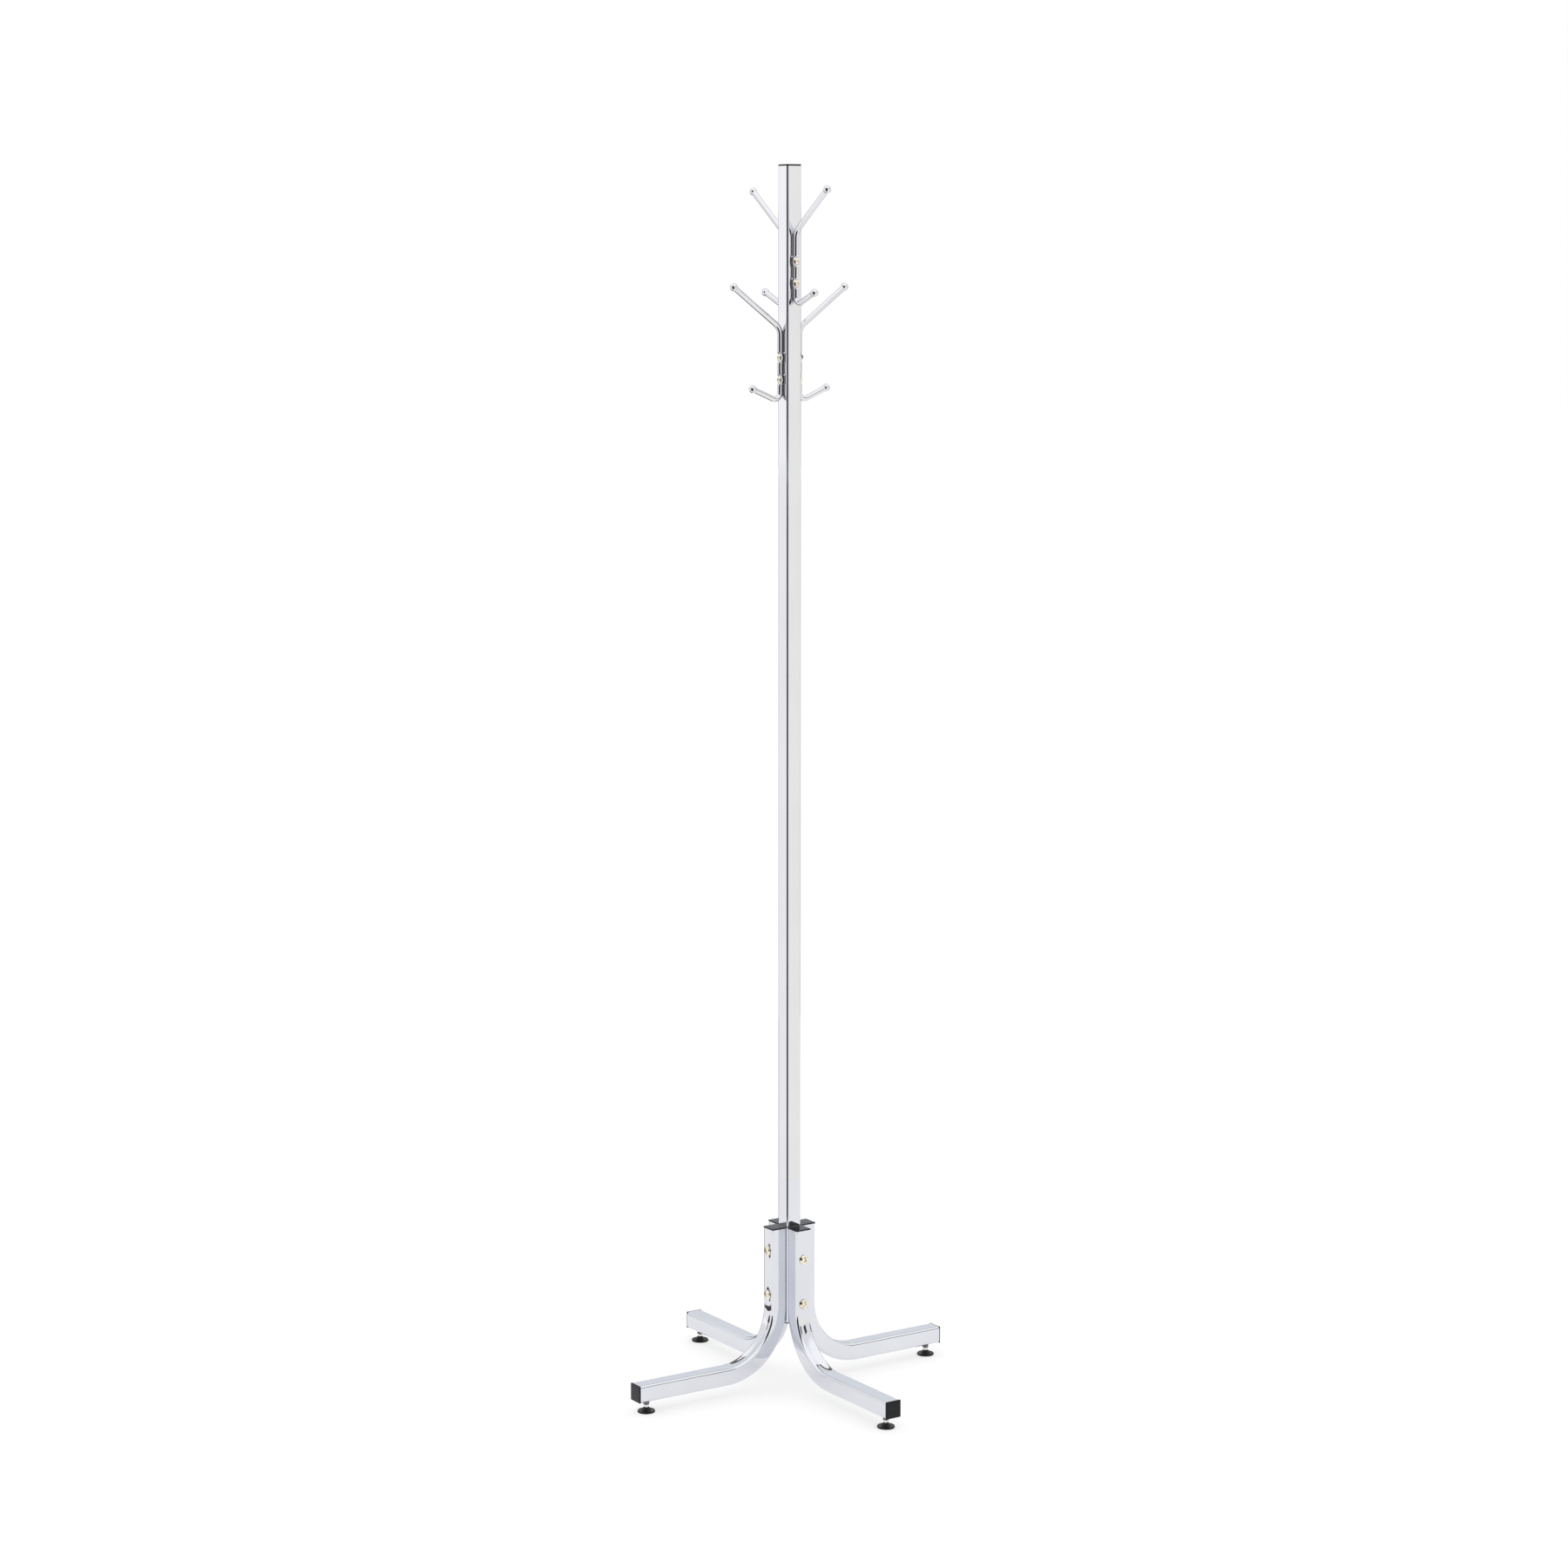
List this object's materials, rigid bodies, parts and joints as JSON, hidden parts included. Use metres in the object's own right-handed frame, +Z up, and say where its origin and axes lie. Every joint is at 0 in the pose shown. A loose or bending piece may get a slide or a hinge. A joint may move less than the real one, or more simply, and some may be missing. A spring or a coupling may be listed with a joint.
{
  "type": "standing coat rack",
  "caption": "Square tube coat rack: a post on bent tube legs, with ball-ended rod hooks near the top and screw-adjustable levelling glides.",
  "frame": {"origin": "on the floor, on the post's axis", "axes": "+Z up along the post; legs and hooks along X and Y; -Y is the front"},
  "size_m": [0.5334, 0.5334, 1.778],
  "materials": {
    "chrome_tube": "bright decorative chrome plate on welded steel tube",
    "chrome_rod": "bright decorative chrome plate on round steel rod",
    "nickel_fastener": "bright nickel-plated steel, slightly warm",
    "zinc_steel": "bright zinc-plated steel",
    "black_plastic": "moulded black polyethylene with a soft gloss",
    "glide_plastic": "moulded black nylon, satin"
  },
  "bodies": {
    "rack": {"post_tube": "chrome_tube", "post_top_cap": "black_plastic", "post_bottom_plug": "black_plastic", "leg_right": "chrome_tube", "leg_top_cap_right": "black_plastic", "leg_end_cap_right": "black_plastic", "glide_insert_right": "zinc_steel", "leg_back": "chrome_tube", "leg_top_cap_back": "black_plastic", "leg_end_cap_back": "black_plastic", "glide_insert_back": "zinc_steel", "leg_left": "chrome_tube", "leg_top_cap_left": "black_plastic", "leg_end_cap_left": "black_plastic", "glide_insert_left": "zinc_steel", "leg_front": "chrome_tube", "leg_top_cap_front": "black_plastic", "leg_end_cap_front": "black_plastic", "glide_insert_front": "zinc_steel", "leg_bolts_left_right": "nickel_fastener", "leg_nuts_left_right": "nickel_fastener", "leg_bolts_front_back": "nickel_fastener", "leg_nuts_front_back": "nickel_fastener", "hook_right": "chrome_rod", "hook_ball_high_right": "chrome_rod", "hook_ball_low_right": "chrome_rod", "hook_back": "chrome_rod", "hook_ball_high_back": "chrome_rod", "hook_ball_low_back": "chrome_rod", "hook_left": "chrome_rod", "hook_ball_high_left": "chrome_rod", "hook_ball_low_left": "chrome_rod", "hook_front": "chrome_rod", "hook_ball_high_front": "chrome_rod", "hook_ball_low_front": "chrome_rod", "hook_screws_high": "nickel_fastener", "hook_nuts_high": "nickel_fastener", "hook_screws_low": "nickel_fastener", "hook_nuts_low": "nickel_fastener"},
    "pad_right": {"glide_pad_right": "glide_plastic"},
    "stud_right": {"glide_stud_right": "zinc_steel"},
    "pad_back": {"glide_pad_back": "glide_plastic"},
    "stud_back": {"glide_stud_back": "zinc_steel"},
    "pad_left": {"glide_pad_left": "glide_plastic"},
    "stud_left": {"glide_stud_left": "zinc_steel"},
    "pad_front": {"glide_pad_front": "glide_plastic"},
    "stud_front": {"glide_stud_front": "zinc_steel"}
  },
  "joints": [
    {"name": "pad_height_right", "type": "slide", "parent": "rack", "child": "pad_right", "axis": [0, 0, 1], "range_m": [-0.01016, 0.00254]},
    {"name": "stud_turn_right", "type": "hinge", "parent": "pad_right", "child": "stud_right", "pos_m": [0.248, 0, 0.02], "axis": [0, 0, 1], "range_deg": [-2890, 730]},
    {"name": "pad_height_back", "type": "slide", "parent": "rack", "child": "pad_back", "axis": [0, 0, 1], "range_m": [-0.01016, 0.00254]},
    {"name": "stud_turn_back", "type": "hinge", "parent": "pad_back", "child": "stud_back", "pos_m": [0, 0.248, 0.02], "axis": [0, 0, 1], "range_deg": [-2890, 730]},
    {"name": "pad_height_left", "type": "slide", "parent": "rack", "child": "pad_left", "axis": [0, 0, 1], "range_m": [-0.01016, 0.00254]},
    {"name": "stud_turn_left", "type": "hinge", "parent": "pad_left", "child": "stud_left", "pos_m": [-0.248, 0, 0.02], "axis": [0, 0, 1], "range_deg": [-2890, 730]},
    {"name": "pad_height_front", "type": "slide", "parent": "rack", "child": "pad_front", "axis": [0, 0, 1], "range_m": [-0.01016, 0.00254]},
    {"name": "stud_turn_front", "type": "hinge", "parent": "pad_front", "child": "stud_front", "pos_m": [0, -0.248, 0.02], "axis": [0, 0, 1], "range_deg": [-2890, 730]}
  ],
  "couplings": [
    {"joint": "stud_turn_right", "follows": "pad_height_right", "rad_per_m": 4947.4},
    {"joint": "stud_turn_back", "follows": "pad_height_back", "rad_per_m": 4947.4},
    {"joint": "stud_turn_left", "follows": "pad_height_left", "rad_per_m": 4947.4},
    {"joint": "stud_turn_front", "follows": "pad_height_front", "rad_per_m": 4947.4}
  ]
}
